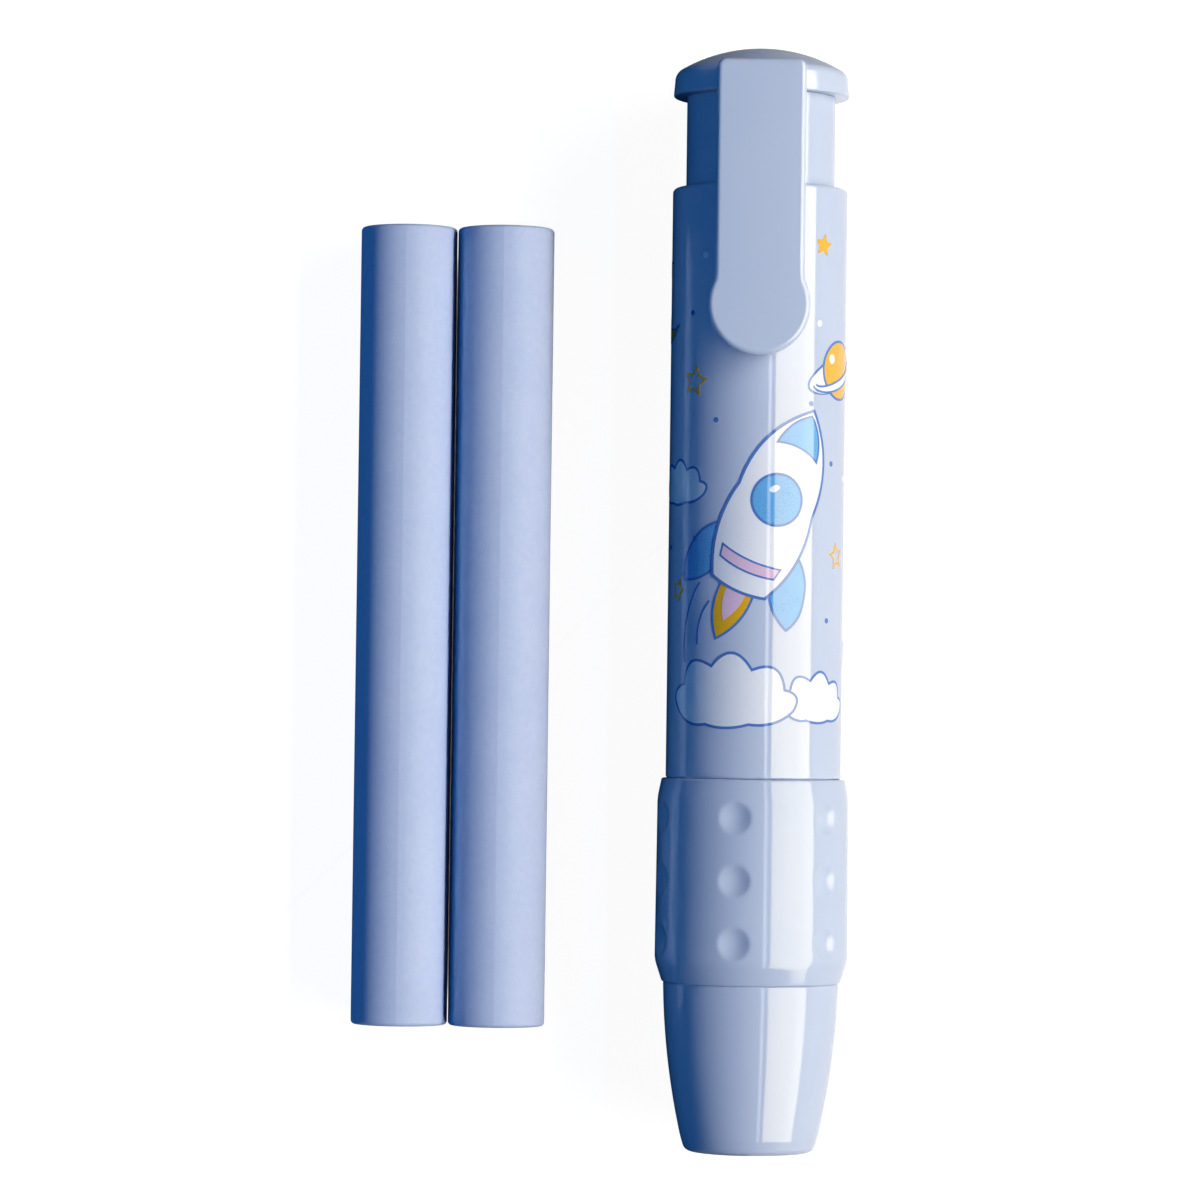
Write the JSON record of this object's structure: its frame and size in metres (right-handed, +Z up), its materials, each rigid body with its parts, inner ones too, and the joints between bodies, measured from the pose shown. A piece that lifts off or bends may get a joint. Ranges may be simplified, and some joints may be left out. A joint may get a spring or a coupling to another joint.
{
  "type": "knock eraser holder with spare erasers",
  "caption": "Knock-type stick eraser holder with a dimpled grip, clip and printed barrel, lying beside a pair of round refill sticks.",
  "frame": {"origin": "middle of the underside of the whole set, on the surface that it lies on", "axes": "+Z up; the holder and the spare sticks lie along Y, the holder's nozzle towards -Y and its cap towards +Y, with its clip up; the spare sticks lie on the -X side"},
  "size_m": [0.0514, 0.1134, 0.0222],
  "materials": {
    "barrel_plastic": "glossy pale blue moulded plastic",
    "grip_plastic": "glossy pale blue moulded plastic, slightly softer gloss than the barrel",
    "cap_plastic": "satin-gloss pale blue moulded plastic",
    "inner_plastic": "plain moulded plastic in the barrel's blue",
    "ring_metal": "turned brass",
    "spring_steel": "drawn spring wire",
    "ring_rubber": "soft pale rubber",
    "eraser_rubber": "matte pale blue vinyl eraser"
  },
  "bodies": {
    "barrel_body": {"barrel": "barrel_plastic", "grip_sleeve": "grip_plastic", "spring_washer": "ring_metal", "return_spring": "spring_steel"},
    "magazine_body": {"magazine_tube": "inner_plastic", "collet": "inner_plastic"},
    "clutch_body": {"clutch_ring": "ring_metal"},
    "cap_body": {"knock_cap": "cap_plastic"},
    "clip_body": {"clip": "cap_plastic"},
    "eraser_body": {"eraser_core": "eraser_rubber"},
    "brake_body": {"brake_ring": "ring_rubber"},
    "nozzle_body": {"nozzle": "barrel_plastic"},
    "spare_left_body": {"spare_refill_left": "eraser_rubber"},
    "spare_right_body": {"spare_refill_right": "eraser_rubber"}
  },
  "joints": [
    {"name": "knock_slide", "type": "slide", "parent": "barrel_body", "child": "magazine_body", "axis": [0, -1, 0], "range_m": [0, 0.007], "stiffness_N_per_m": 250, "springref_m": -0.004, "deforming": ["return_spring"]},
    {"name": "clutch_slide", "type": "slide", "parent": "barrel_body", "child": "clutch_body", "axis": [0, -1, 0], "range_m": [0, 0.0023]},
    {"name": "cap_turn", "type": "hinge", "parent": "magazine_body", "child": "cap_body", "pos_m": [0.01578, 0.05165, 0.0099], "axis": [0, 1, 0], "continuous": true},
    {"name": "clip_flex", "type": "hinge", "parent": "cap_body", "child": "clip_body", "pos_m": [0.01578, 0.05165, 0.0212], "axis": [-1, 0, 0], "range_deg": [0, 6], "stiffness_Nm_per_rad": 0.6, "springref_deg": -1.15},
    {"name": "eraser_feed", "type": "slide", "parent": "magazine_body", "child": "eraser_body", "axis": [0, -1, 0], "range_m": [0, 0.066]},
    {"name": "nozzle_slide", "type": "slide", "parent": "barrel_body", "child": "brake_body", "axis": [0, -1, 0], "range_m": [0, 0.00601]},
    {"name": "nozzle_turn", "type": "hinge", "parent": "brake_body", "child": "nozzle_body", "pos_m": [0.01578, -0.05665, 0.0099], "axis": [0, -1, 0], "range_deg": [0, 1080]},
    {"name": "spare_left_draw", "type": "slide", "parent": "barrel_body", "child": "spare_left_body", "axis": [0, -1, 0], "range_m": [0, 0.085]},
    {"name": "spare_right_draw", "type": "slide", "parent": "barrel_body", "child": "spare_right_body", "axis": [0, -1, 0], "range_m": [0, 0.085]}
  ],
  "couplings": [
    {"joint": "clutch_slide", "follows": "knock_slide", "ratio": 0.32857},
    {"joint": "nozzle_slide", "follows": "nozzle_turn", "m_per_rad": 0.00031831}
  ]
}
